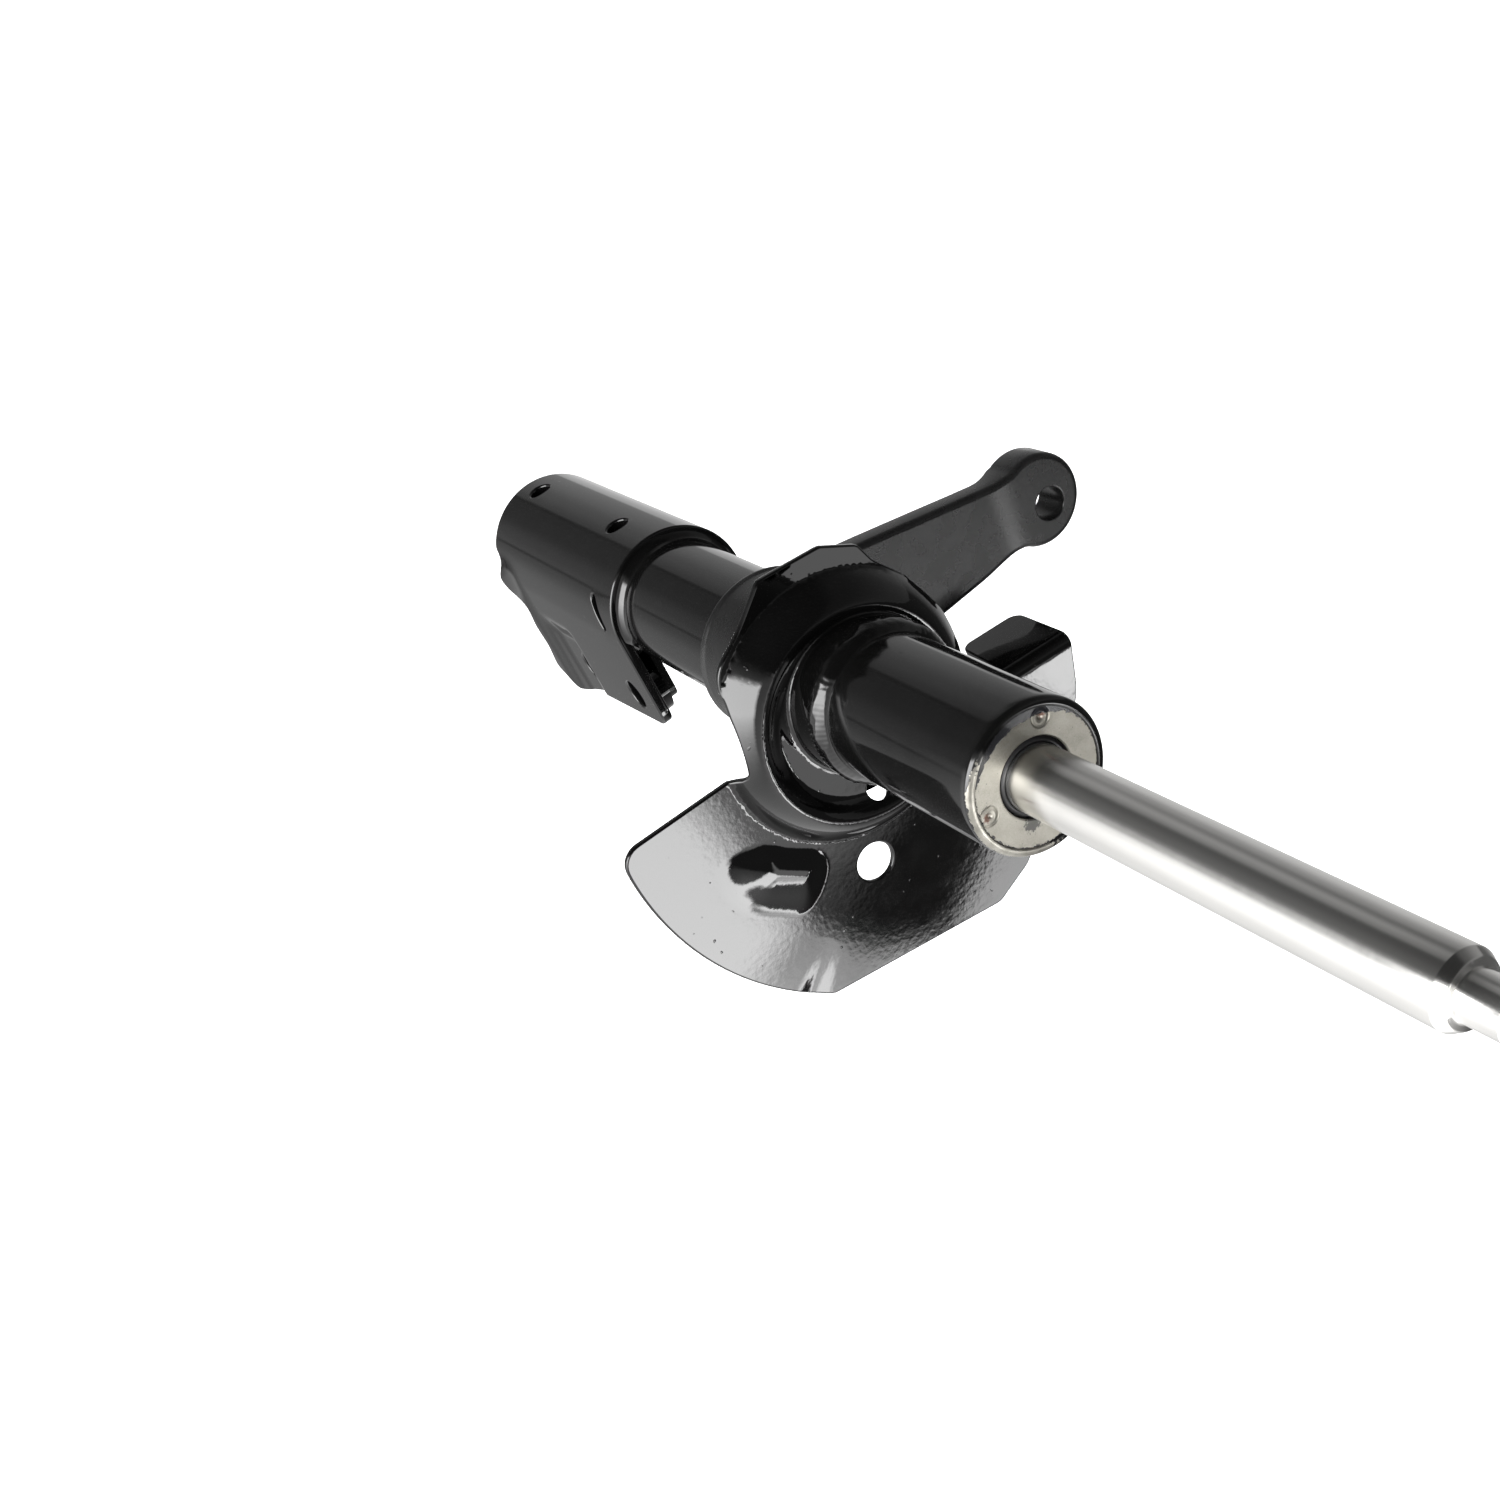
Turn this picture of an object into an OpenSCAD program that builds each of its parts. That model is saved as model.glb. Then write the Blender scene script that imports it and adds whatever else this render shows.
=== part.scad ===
// Front suspension strut with a bolted knuckle bracket, a welded steering arm and a spring seat
// with a large shield. Z is the strut axis, the rod points to +Z, and z = 0 is the base of the
// tube. X is the direction of the knuckle bolts and +Y is the side that the knuckle sits on.

/* [Tube and rod] */
// Outside diameter of the reserve tube
tube_d = 51; // [50:0.5:52]
// Wall thickness of the reserve tube
tube_wall = 2.5; // [2.3:0.1:2.7]
// Length of the reserve tube
tube_length = 370; // [366:1:380]
// Diameter of the piston rod
rod_d = 22; // [22:0.5:22]
// Length of rod that stands out of the tube when extended
rod_out = 163; // [158:1:170]
// Diameter of the mounting stud on the rod
stud_d = 14; // [12:1:14]
// Length of the mounting stud
stud_length = 45; // [40:1:50]

/* [Knuckle bracket] */
// Outside radius of the bracket where it wraps the tube
wrap_r = 30.8; // [30.6:0.1:31]
// Sheet thickness of the bracket's ears
ear_sheet = 4.8; // [4.6:0.1:4.9]
// Height of the bracket's upper edge
bracket_top = 128; // [126:1:130]
// Diameter of the knuckle bolt holes
bolt_d = 13; // [12:0.5:14]
// Place of the upper bolt hole, across and up
upper_bolt = [33, 109]; // [32.5:0.5:112]
// Place of the lower bolt hole, across and up
lower_bolt = [36.5, 54]; // [33:0.5:56]
// Width of the gap that the knuckle's lug fits
clevis_gap = 35; // [34:0.5:36]

/* [Steering arm] */
// Angle of the arm around the strut
arm_turn = 175.2; // [172:0.1:178]
// Distance from the strut axis to the tie rod hole
arm_reach = 119; // [117:1:121]
// Height of the arm's upper face
arm_top = 225; // [223:1:226]
// Diameter of the tie rod hole
tie_rod_d = 13; // [12:0.5:14]

/* [Spring seat] */
// Turn of the seat and its shield around the strut
seat_turn = -58.3; // [-60:0.1:-56]
// Height of the shield's upper face
shield_z = 262; // [261:0.5:263]
// Sheet thickness of the seat and shield
seat_sheet = 2.5; // [2.4:0.1:2.6]
// Radius of the round seat, outside its ridge
seat_r = 49; // [48:0.5:50]
// Height of the seat's ridge over the shield
ridge_h = 13; // [12:0.5:13]

/* [Valves] */
// Bore of the pressure tube
bore_d = 32; // [32:0.5:32]
// Lift of the base check plate
base_lift = 0.8; // [0.6:0.1:0.8]
// Lift of the piston's check plate
piston_lift = 0.6; // [0.4:0.1:0.6]

/* [Hidden] */
$fn = 64;

eps = 0.01;
tube_r = tube_d / 2;
tube_in = tube_r - tube_wall;
rod_r = rod_d / 2;
bore_r = bore_d / 2;
running = 0.05;
// Inner parts, from the top of the tube down
lip = 2.6;
cap_z = tube_length - 5.5;
seal_z = cap_z - 6.5;
guide_z = seal_z - 17;
guide_spigot = 10;
bush_r = 13;
// Rod end, with the stop ring and the piston below it
shoulder_z = tube_length + rod_out;
bumper_top = guide_z - guide_spigot - 0.3;
bumper_z = bumper_top - 22;
stop_z = bumper_z - 4;
piston_seat_z = stop_z - 24;
neck_r = 6;
piston_top = piston_seat_z - 4;
piston_h = 16;
piston_z = piston_top - piston_h;
disc_t = 0.4;
discs = 4;
discs_z = piston_z - discs * disc_t;
washer_z = discs_z - 1.5;
nut_z = washer_z - 10;
// Base valve, from the base of the tube up
valve_z = 6;
valve_h = 8;
valve_spigot = 6;
valve_top = valve_z + valve_h + valve_spigot;
// Bracket's inner channel
channel_t = 3.2;
channel_x = clevis_gap / 2;
ear_x = wrap_r - ear_sheet;

// Unit vector of a point list entry's direction
function unit(v) = v / norm(v);
function xy(p) = [p[0], p[1]];
// Points of the arc that rounds the corner at b, whose third number is the radius
function corner(a, b, c, n = 6) =
    let (u = unit(xy(a) - xy(b)), v = unit(xy(c) - xy(b)), half = acos(u * v) / 2,
        m = xy(b) + unit(u + v) * b[2] / sin(half),
        s = xy(b) + u * b[2] / tan(half) - m, e = xy(b) + v * b[2] / tan(half) - m,
        a0 = atan2(s[1], s[0]), turn = atan2(s[0] * e[1] - s[1] * e[0], s * e))
    [for (i = [0:n]) m + b[2] * [cos(a0 + turn * i / n), sin(a0 + turn * i / n)]];
// Outline of corners [x, y, radius], with every corner of radius above 0 rounded
function rounded(p) = let (k = len(p))
    [for (i = [0:k - 1]) each p[i][2] > 0
        ? corner(p[(i + k - 1) % k], p[i], p[(i + 1) % k]) : [xy(p[i])]];

module ring(r_in, r_out, z, h) {
    translate([0, 0, z]) difference() {
        cylinder(r = r_out, h = h);
        translate([0, 0, -1]) cylinder(r = r_in, h = h + 2);
    }
}

module around(count, r, start = 0) {
    for (i = [0:count - 1]) rotate([0, 0, start + i * 360 / count]) translate([r, 0, 0]) children();
}

// ---- Tube ----

module reserve_tube() {
    color([0.05, 0.05, 0.055])
    rotate_extrude()
        polygon([[tube_in, 0], [tube_r, 0], [tube_r, tube_length - 2], [tube_r - 0.6, tube_length - 0.6],
            [tube_r - 2, tube_length], [tube_in - 0.6, tube_length], [tube_in - 0.6, tube_length - lip],
            [tube_in, tube_length - lip]]);
}

module base_cap() {
    color([0.06, 0.06, 0.065])
    rotate_extrude()
        polygon([[0, 0], [tube_in, 0], [tube_in, 11], [tube_in - 2.5, 11], [tube_in - 2.5, 6],
            [tube_in - 5, 4], [0, 4]]);
}

module pressure_tube() {
    color([0.7, 0.7, 0.72])
    ring(bore_r, bore_r + 1.5, valve_z + valve_h, guide_z - valve_z - valve_h);
}

// ---- Knuckle bracket ----

// Side outline of one ear in Y and Z
ear_outline = [[-8, 0, 0], [0, 3, 3], [12, 15, 8], [30, 12, 8], [48, 10, 8], [59, 17, 6], [55, 33, 9],
    [50, 54, 14], [43.5, bracket_top, 7], [-8, bracket_top, 0]];

module ear_side(x, t) {
    translate([x, 0, 0]) rotate([90, 0, 90]) linear_extrude(t) polygon(rounded(ear_outline));
}

module bolt_holes(d = bolt_d) {
    for (b = [upper_bolt, lower_bolt])
        translate([-50, b[0], b[1]]) rotate([0, 90, 0]) cylinder(d = d, h = 100);
}

module knuckle_bracket() {
    pilot_d = 9.6;
    // slot through each shoulder of the wrap
    slot_turn = -18;
    slot_z = 113;
    slot_lean = 17;
    slot_size = [4, 15];
    color([0.05, 0.05, 0.055])
    difference() {
        union() {
            intersection() {
                ring(tube_r, wrap_r, 0, bracket_top);
                translate([-40, -40, -1]) cube([80, 40, bracket_top + 2]);
            }
            for (x = [-wrap_r, ear_x]) intersection() {
                ear_side(x, ear_sheet);
                translate([-40, 0, -1]) cube([80, 70, bracket_top + 2]);
            }
        }
        bolt_holes();
        for (z = [16, 99.5]) translate([0, 0, z]) rotate([90, 0, 0]) cylinder(d = pilot_d, h = 40);
        for (side = [0, 1]) mirror([side, 0, 0]) rotate([0, 0, slot_turn]) rotate([0, 90, 0])
            translate([-slot_z, 0, tube_r - 5]) rotate([0, 0, slot_lean]) linear_extrude(20)
                square(slot_size, center = true);
    }
}

module bracket_reinforcement() {
    root = sqrt(tube_r * tube_r - channel_x * channel_x);
    outline = [[root - 4, 20, 0], [30, 18, 6], [45, 26, 8], [44, 60, 14], [39, 122, 6], [root - 4, 122, 0]];
    color([0.06, 0.06, 0.065])
    difference() {
        union() {
            for (x = [-channel_x - channel_t, channel_x]) translate([x, 0, 0])
                rotate([90, 0, 90]) linear_extrude(channel_t) polygon(rounded(outline));
            for (b = [upper_bolt, lower_bolt], side = [-1, 1])
                translate([side < 0 ? -ear_x : channel_x + channel_t - eps, b[0], b[1]])
                    rotate([0, 90, 0]) cylinder(d = bolt_d + 13, h = ear_x - channel_x - channel_t + eps);
        }
        bolt_holes();
        cylinder(r = tube_r, h = 200);
    }
}

module bracket_weld() {
    color([0.04, 0.04, 0.045])
    intersection() {
        union() {
            rotate_extrude() polygon([[tube_r, bracket_top], [wrap_r - 0.3, bracket_top],
                [28.6, bracket_top + 2], [26.6, bracket_top + 4.6], [tube_r, bracket_top + 8]]);
        }
        translate([-40, -40, 0]) cube([80, 53, 200]);
    }
}

// ---- Steering arm ----

hub_z = 207;
hub_top = 229;
arm_sheet = 11;
eye_r = 18.2;
eye_h = 17;
// centre of the eye's outline, off the centre of its hole
eye_shift = [-3.5, 3];

module steering_arm() {
    shank = [[20, -23.5, 0], [40, -20.5, 30], [84, -14.4, 40], [102, -11.6, 14], [arm_reach, -12, 0],
        [arm_reach, 17, 0], [100, 17, 14], [84, 18.4, 40], [40, 24.2, 30], [20, 27, 0]];
    color([0.05, 0.05, 0.055])
    rotate([0, 0, arm_turn])
    difference() {
        union() {
            rotate_extrude() polygon([[tube_r, hub_z], [30.2, hub_z], [31, hub_z + 0.8], [31, hub_z + 3],
                [30.2, hub_z + 4], [30.2, hub_top], [tube_r, hub_top]]);
            translate([0, 0, arm_top - arm_sheet]) linear_extrude(arm_sheet) polygon(rounded(shank));
            translate([arm_reach + eye_shift[0], eye_shift[1], arm_top - (eye_h + arm_sheet) / 2])
                cylinder(r = eye_r, h = eye_h);
        }
        cylinder(r = tube_r, h = 400);
        translate([arm_reach, 0, 0]) cylinder(d = tie_rod_d, h = 400);
    }
}

module steering_arm_weld() {
    color([0.04, 0.04, 0.045])
    rotate_extrude() polygon([[tube_r, hub_z - 4], [26.6, hub_z - 2.6], [28.6, hub_z], [tube_r, hub_z]]);
}

// ---- Spring seat ----

ring_x = -2;
ring_y = 7.5;
floor_z = shield_z + 8;
neck_top = shield_z + 22;
// Rim corners in the seat's own plan, with the shield to its upper left
sheet_outline = [[52.4, -17, 3], [50.4, 0, 60], [50.6, 16.5, 12], [41, 28, 12], [24.6, 44.2, 3], [53, 86, 7],
    [30, 122, 0], [-60, 122, 0], [-50, 108, 6], [-108, 48, 6], [-111.5, 30, 10], [-96, -34, 12],
    [-79.3, -51.5, 0], [-62.4, -29.1, 0], [-46, -14, 6], [-36, -28, 10], [-12, -40, 10], [14, -42, 10],
    [24, -43, 3], [36.5, -36.5, 3]];
shield_hole = [-45, 53];
drain = [-24.5, 28];
arc_x = -18.4;
arc_y = -8;
arc_r = 117.7;
flange_h = 33.4;
flange_from = [-79.3, -51.5];
flange_to = [-62.4, -29.1];

module flange() {
    along = flange_to - flange_from;
    translate([flange_from[0], flange_from[1], shield_z - flange_h])
        rotate([90, 0, atan2(along[1], along[0])])
            translate([0, 0, -seat_sheet]) linear_extrude(seat_sheet)
                polygon(rounded([[0, flange_h, 0], [2, 0, 5], [norm(along) - 1, 0, 5],
                    [norm(along), flange_h, 0]]));
}

module spring_seat() {
    ridge = [[seat_r + 1, -seat_sheet], [seat_r + 1, 0], [seat_r - 0.5, 0.6], [seat_r - 2, 3],
        [seat_r - 3, 8], [seat_r - 4.6, 11.6], [seat_r - 7, ridge_h], [seat_r - 9.4, 11.8],
        [seat_r - 11.4, 9], [seat_r - 13, 8], [20, 8], [20, 8 - seat_sheet], [seat_r - 12.4, 5.6],
        [seat_r - 9.4, 8.4], [seat_r - 7, 10.2], [seat_r - 5.6, 7.4], [seat_r - 4.4, 1],
        [seat_r - 4, -seat_sheet]];
    color([0.05, 0.05, 0.055])
    difference() {
        union() {
            rotate([0, 0, seat_turn]) {
                difference() {
                    translate([0, 0, shield_z - seat_sheet]) linear_extrude(seat_sheet) intersection() {
                        polygon(rounded(sheet_outline));
                        translate([arc_x, arc_y]) circle(r = arc_r, $fn = 128);
                    }
                    translate([ring_x, ring_y, 0]) cylinder(r = seat_r - 3, h = 400);
                    translate([shield_hole[0], shield_hole[1], 0]) cylinder(d = 15, h = 400);
                }
                translate([ring_x, ring_y, shield_z]) difference() {
                    rotate_extrude() polygon(ridge);
                    translate([-ring_x, -ring_y, -50]) cylinder(r = 30, h = 100);
                    translate([drain[0] - ring_x, drain[1] - ring_y, -50]) cylinder(d = 8, h = 100);
                }
                flange();
            }
            rotate_extrude() polygon([[tube_r, neck_top - 16], [tube_r, neck_top], [28.2, neck_top],
                [28.6, floor_z + 6], [30, floor_z + 2.4], [33, floor_z], [33, floor_z - seat_sheet],
                [28, floor_z - seat_sheet], [28, neck_top - 16]]);
        }
        translate([0, 0, -1]) cylinder(r = tube_r, h = 500);
    }
}

module spring_seat_weld() {
    color([0.04, 0.04, 0.045])
    rotate_extrude() polygon([[tube_r, neck_top], [28.8, neck_top], [28.9, neck_top + 1.6],
        [27.4, neck_top + 4], [tube_r, neck_top + 5]]);
}

module seat_support() {
    top = shield_z - seat_sheet;
    color([0.05, 0.05, 0.055])
    rotate_extrude() polygon([[tube_r, hub_top], [30.5, hub_top], [31.6, hub_top + 6], [35, hub_top + 16],
        [40, hub_top + 25], [42.6, top - 0.1], [39.6, top - 0.1], [37.4, hub_top + 26],
        [32.4, hub_top + 17], [29, hub_top + 8], [28.4, hub_top + 4], [tube_r, hub_top + 4]]);
}

// ---- Base valve ----

module base_valve_body() {
    color([0.55, 0.53, 0.5])
    difference() {
        union() {
            translate([0, 0, valve_z]) cylinder(r = bore_r + 1.5, h = valve_h);
            translate([0, 0, valve_z + valve_h]) cylinder(r = bore_r, h = valve_spigot);
            around(6, 14.5) translate([0, 0, 4]) cylinder(r = 2, h = 3);
        }
        translate([0, 0, valve_z - 1]) cylinder(r = 10.5, h = 3);
        cylinder(r = 3, h = 40);
        around(6, 11.5) cylinder(r = 1.3, h = 40);
        around(4, 7, 45) cylinder(r = 1.1, h = 40);
    }
}

module base_valve_discs() {
    color([0.6, 0.6, 0.64])
    for (i = [0:discs - 1]) ring(3, 9.6 - i, valve_z + 2 - (i + 1) * disc_t, disc_t);
}

module base_valve_bolt() {
    color([0.5, 0.5, 0.52])
    union() {
        translate([0, 0, 4.8]) cylinder(r = 5, h = valve_z + 2 - discs * disc_t - 4.8);
        translate([0, 0, 5]) cylinder(r = 3, h = valve_top + base_lift - 3);
        translate([0, 0, valve_top + base_lift + 1.4]) cylinder(r = 5.4, h = 2.4);
    }
}

module base_check_plate() {
    color([0.62, 0.62, 0.66])
    translate([0, 0, valve_top]) difference() {
        cylinder(r = 14, h = 0.6);
        translate([0, 0, -1]) cylinder(r = 9.4, h = 3);
    }
}

module base_valve_spring() {
    z = valve_top + base_lift + 0.8;
    color([0.45, 0.47, 0.5])
    difference() {
        union() {
            ring(3, 6.2, z, 0.5);
            for (i = [0:4]) rotate([0, 0, i * 72]) translate([5, -1.4, z]) cube([8, 2.8, 0.5]);
        }
        cylinder(r = 3, h = 60);
    }
}

// ---- Rod guide and seal ----

module rod_guide() {
    color([0.48, 0.47, 0.46])
    difference() {
        union() {
            translate([0, 0, guide_z]) cylinder(r = tube_in, h = seal_z - guide_z);
            translate([0, 0, guide_z - guide_spigot]) cylinder(r = bore_r, h = guide_spigot);
        }
        cylinder(r = bush_r, h = 400);
        translate([0, 0, seal_z - 2.4]) cylinder(r = 15.6, h = 5);
        around(3, 18.6) translate([0, 0, guide_z - 1]) cylinder(r = 1.4, h = 40);
        translate([0, 0, guide_z + 5]) difference() {
            cylinder(r = tube_in + 1, h = 2.8);
            translate([0, 0, -1]) cylinder(r = tube_in - 2.4, h = 6);
        }
    }
}

module guide_bush() {
    color([0.6, 0.45, 0.25])
    ring(rod_r + running, bush_r, guide_z - 6, 18);
}

module guide_o_ring() {
    color([0.08, 0.08, 0.08])
    rotate_extrude() translate([tube_in - 1.25, guide_z + 6.4]) circle(r = 1.15, $fn = 24);
}

module rod_seal() {
    color([0.07, 0.07, 0.07])
    rotate_extrude() polygon([[rod_r + running, seal_z + 0.4], [13.2, seal_z + 0.4], [13.2, seal_z + 3.6],
        [15.8, seal_z + 3.6], [15.8, seal_z], [tube_in, seal_z], [tube_in, cap_z], [13, cap_z],
        [12.8, cap_z + 3.4], [rod_r + 0.8, cap_z + 4.4], [rod_r + running, cap_z + 4.2]]);
}

module seal_spring() {
    color([0.6, 0.6, 0.62])
    rotate_extrude() translate([14.2, seal_z + 1.8]) circle(r = 0.8, $fn = 24);
}

module closing_cap() {
    face = tube_length - 0.6;
    pit_r = 20;
    color([0.62, 0.59, 0.52])
    difference() {
        union() {
            translate([0, 0, cap_z]) cylinder(r = tube_in, h = tube_length - lip - cap_z);
            translate([0, 0, cap_z]) cylinder(r = tube_in - 0.6, h = face - cap_z);
        }
        cylinder(r = 13.2, h = 400);
        rotate([0, 0, 1.7]) around(3, pit_r) translate([0, 0, face - 0.9]) cylinder(r = 1.2, h = 2);
    }
}

// ---- Rod and piston ----

module piston_rod() {
    stud_r = stud_d / 2;
    color([0.78, 0.78, 0.8])
    difference() {
        rotate_extrude() polygon([[0, nut_z - 3], [neck_r - 0.8, nut_z - 3], [neck_r, nut_z - 2.2],
            [neck_r, piston_seat_z], [rod_r - 0.6, piston_seat_z], [rod_r, piston_seat_z + 0.6],
            [rod_r, stop_z + 1], [rod_r - 0.8, stop_z + 1], [rod_r - 0.8, stop_z + 3], [rod_r, stop_z + 3],
            [rod_r, shoulder_z - 2.2], [rod_r - 1.6, shoulder_z], [stud_r, shoulder_z],
            [stud_r, shoulder_z + stud_length - 1.5], [stud_r - 1.5, shoulder_z + stud_length],
            [0, shoulder_z + stud_length]]);
        translate([0, 0, shoulder_z + stud_length - 8]) cylinder(d = 7, h = 10, $fn = 6);
    }
}

module piston() {
    color([0.5, 0.49, 0.48])
    difference() {
        union() {
            translate([0, 0, piston_z]) cylinder(r = bore_r - 0.4, h = piston_h);
            translate([0, 0, piston_top]) cylinder(r = 7.8, h = 2);
        }
        cylinder(r = neck_r, h = 400);
        translate([0, 0, piston_z + 2]) difference() {
            cylinder(r = bore_r + 1, h = piston_h - 4);
            translate([0, 0, -1]) cylinder(r = bore_r - 1.4, h = piston_h);
        }
        around(6, 10.6) translate([0, 0, piston_z - 1]) cylinder(r = 1.2, h = piston_h + 2);
        translate([0, 0, piston_z - 1]) difference() {
            cylinder(r = 9.6, h = 1.8);
            translate([0, 0, -1]) cylinder(r = 7.6, h = 4);
        }
    }
}

module piston_band() {
    color([0.18, 0.16, 0.14])
    ring(bore_r - 1.4 + running, bore_r - running, piston_z + 2 + running, piston_h - 4 - 2 * running);
}

module piston_check_plate() {
    color([0.62, 0.62, 0.66])
    ring(7.8 + running, 13.4, piston_top, 0.6);
}

module piston_check_spring() {
    z = piston_top + 2;
    color([0.45, 0.47, 0.5])
    difference() {
        union() {
            ring(neck_r, 7.8, z, 0.5);
            for (i = [0:5]) rotate([0, 0, i * 60]) translate([7, -1.2, z]) cube([5.4, 2.4, 0.5]);
        }
        cylinder(r = neck_r, h = 400);
    }
}

module rebound_discs() {
    color([0.6, 0.6, 0.64])
    for (i = [0:discs - 1]) ring(neck_r, 12.4 - 1.2 * i, piston_z - (i + 1) * disc_t, disc_t);
}

module piston_washer() {
    color([0.55, 0.55, 0.58])
    union() {
        ring(neck_r, 8.4, washer_z, 1.5);
        ring(neck_r, 9.6, piston_top + 2.5, 1.5);
    }
}

module piston_nut() {
    color([0.5, 0.5, 0.52])
    difference() {
        translate([0, 0, nut_z]) cylinder(d = 21, h = 10, $fn = 6);
        cylinder(r = neck_r, h = 400);
    }
}

module rebound_stop() {
    color([0.4, 0.4, 0.42])
    difference() {
        rotate_extrude() polygon([[rod_r, stop_z], [14.6, stop_z], [15.2, stop_z + 1], [15.2, stop_z + 4],
            [rod_r, stop_z + 4], [rod_r, stop_z + 3], [rod_r - 0.8, stop_z + 3], [rod_r - 0.8, stop_z + 1],
            [rod_r, stop_z + 1]]);
    }
}

module rebound_bumper() {
    color([0.3, 0.28, 0.24])
    rotate_extrude() polygon([[rod_r + 0.1, bumper_z], [15.2, bumper_z], [15.2, bumper_z + 6],
        [14.2, bumper_z + 9], [15, bumper_z + 12], [15, bumper_top - 2], [14, bumper_top],
        [rod_r + 0.1, bumper_top]]);
}

reserve_tube();
base_cap();
knuckle_bracket();
bracket_reinforcement();
bracket_weld();
steering_arm();
steering_arm_weld();
seat_support();
spring_seat();
spring_seat_weld();
pressure_tube();
base_valve_body();
base_valve_discs();
base_valve_bolt();
base_valve_spring();
base_check_plate();
rod_guide();
guide_bush();
guide_o_ring();
rod_seal();
seal_spring();
closing_cap();
piston_rod();
piston();
piston_band();
piston_check_plate();
piston_check_spring();
rebound_discs();
piston_washer();
piston_nut();
rebound_stop();
rebound_bumper();
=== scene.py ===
"""Looks of a front suspension strut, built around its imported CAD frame. Lengths are in millimetres until
a mesh is made, and the plan of the spring seat has its own turned frame, as in the CAD source."""

import math

import bpy
import numpy as np
from mathutils import Matrix, Vector
from mathutils.geometry import delaunay_2d_cdt


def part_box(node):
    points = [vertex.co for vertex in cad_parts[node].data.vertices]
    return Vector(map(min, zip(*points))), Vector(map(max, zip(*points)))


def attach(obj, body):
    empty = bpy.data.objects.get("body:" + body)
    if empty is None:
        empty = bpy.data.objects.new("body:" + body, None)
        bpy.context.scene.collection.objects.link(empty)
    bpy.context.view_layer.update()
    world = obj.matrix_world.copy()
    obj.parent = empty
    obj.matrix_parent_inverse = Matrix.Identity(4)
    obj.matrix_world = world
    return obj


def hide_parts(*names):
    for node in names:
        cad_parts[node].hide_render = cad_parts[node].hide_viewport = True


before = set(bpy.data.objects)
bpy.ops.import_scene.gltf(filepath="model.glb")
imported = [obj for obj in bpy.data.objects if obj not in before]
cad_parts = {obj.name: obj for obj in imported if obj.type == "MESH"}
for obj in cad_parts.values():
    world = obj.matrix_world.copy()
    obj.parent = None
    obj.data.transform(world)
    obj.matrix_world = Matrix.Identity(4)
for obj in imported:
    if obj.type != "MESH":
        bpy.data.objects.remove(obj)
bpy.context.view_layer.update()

MM = 0.001


def span(node):
    """Lowest and highest corner of a CAD node, in millimetres."""
    low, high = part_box(node)
    return np.array(low) / MM, np.array(high) / MM


# ---- Driving sizes, read from the frame ----

TUBE_R, _, TUBE_TOP = span("reserve_tube")[1]
rod_low, rod_high = span("piston_rod")
ROD_R, ROD_END = rod_high[0], rod_high[2]
STUD_LENGTH = 45.0
SHOULDER = ROD_END - STUD_LENGTH
STUD_R = 7.0
cap_low, cap_high = span("closing_cap")
CAP_FACE, CAP_LOW = cap_high[2], cap_low[2]
bracket_low, bracket_high = span("knuckle_bracket")
WRAP_R, BRACKET_TOP, BRACKET_BASE = bracket_high[0], bracket_high[2], bracket_low[2]
QUARTER = WRAP_R * math.pi / 2
arm_low, arm_high = span("steering_arm")
HUB_BASE, HUB_TOP = arm_low[2], arm_high[2]
NECK_TOP = span("spring_seat_weld")[0][2]
NECK_R, NECK_HEIGHT = 28.2, 22.0
SHIELD_Z = NECK_TOP - NECK_HEIGHT

# The turns of the seat's and the arm's own plans, the arm's hole, and the depth of an edge of paint
SEAT_TURN = math.radians(-58.3)
ARM_TURN = math.radians(175.2)
ARM_REACH = 119.0
PAINT_DEPTH = 0.08


# ---- Mesh helpers ----

def unit(v):
    """The direction of v."""
    return v / np.linalg.norm(v)


def rounded(corners, steps=10):
    """Outline of corners (x, y, radius), each with its corner rounded by an arc."""
    out = []
    pts = [np.array(c[:2], float) for c in corners]
    for i, c in enumerate(corners):
        here, before, after = pts[i], pts[i - 1], pts[(i + 1) % len(pts)]
        if c[2] <= 0:
            out.append(here)
            continue
        u, v = unit(before - here), unit(after - here)
        half = math.acos(np.clip(u @ v, -1, 1)) / 2
        mid = here + unit(u + v) * c[2] / math.sin(half)
        s, e = here + u * c[2] / math.tan(half) - mid, here + v * c[2] / math.tan(half) - mid
        a0 = math.atan2(s[1], s[0])
        turn = math.atan2(s[0] * e[1] - s[1] * e[0], s @ e)
        for k in range(steps + 1):
            a = a0 + turn * k / steps
            out.append(mid + c[2] * np.array([math.cos(a), math.sin(a)]))
    return np.array(out)


def resample(loop, step, keep=25):
    """Even points along a closed outline; a corner sharper than keep degrees stays a point."""
    loop = np.asarray(loop, float)
    back, ahead = loop - np.roll(loop, 1, 0), np.roll(loop, -1, 0) - loop
    cross = back[:, 0] * ahead[:, 1] - back[:, 1] * ahead[:, 0]
    bend = np.abs(np.degrees(np.arctan2(cross, (back * ahead).sum(1))))
    sharp = list(np.nonzero(bend > keep)[0]) or [0]
    out = []
    for a, b in zip(sharp, sharp[1:] + [sharp[0] + len(loop)]):
        part = loop[np.arange(a, b + 1) % len(loop)]
        run = np.r_[0, np.cumsum(np.linalg.norm(np.diff(part, axis=0), axis=1))]
        n = max(1, round(run[-1] / step))
        at = np.linspace(0, run[-1], n + 1)[:-1]
        out.append(np.stack([np.interp(at, run, part[:, 0]), np.interp(at, run, part[:, 1])], 1))
    return np.concatenate(out)


def circle(x, y, r, step):
    """Points about step apart on a circle."""
    n = max(16, round(2 * math.pi * r / step))
    a = np.arange(n) * 2 * math.pi / n
    return np.stack([x + r * np.cos(a), y + r * np.sin(a)], 1)


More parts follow.
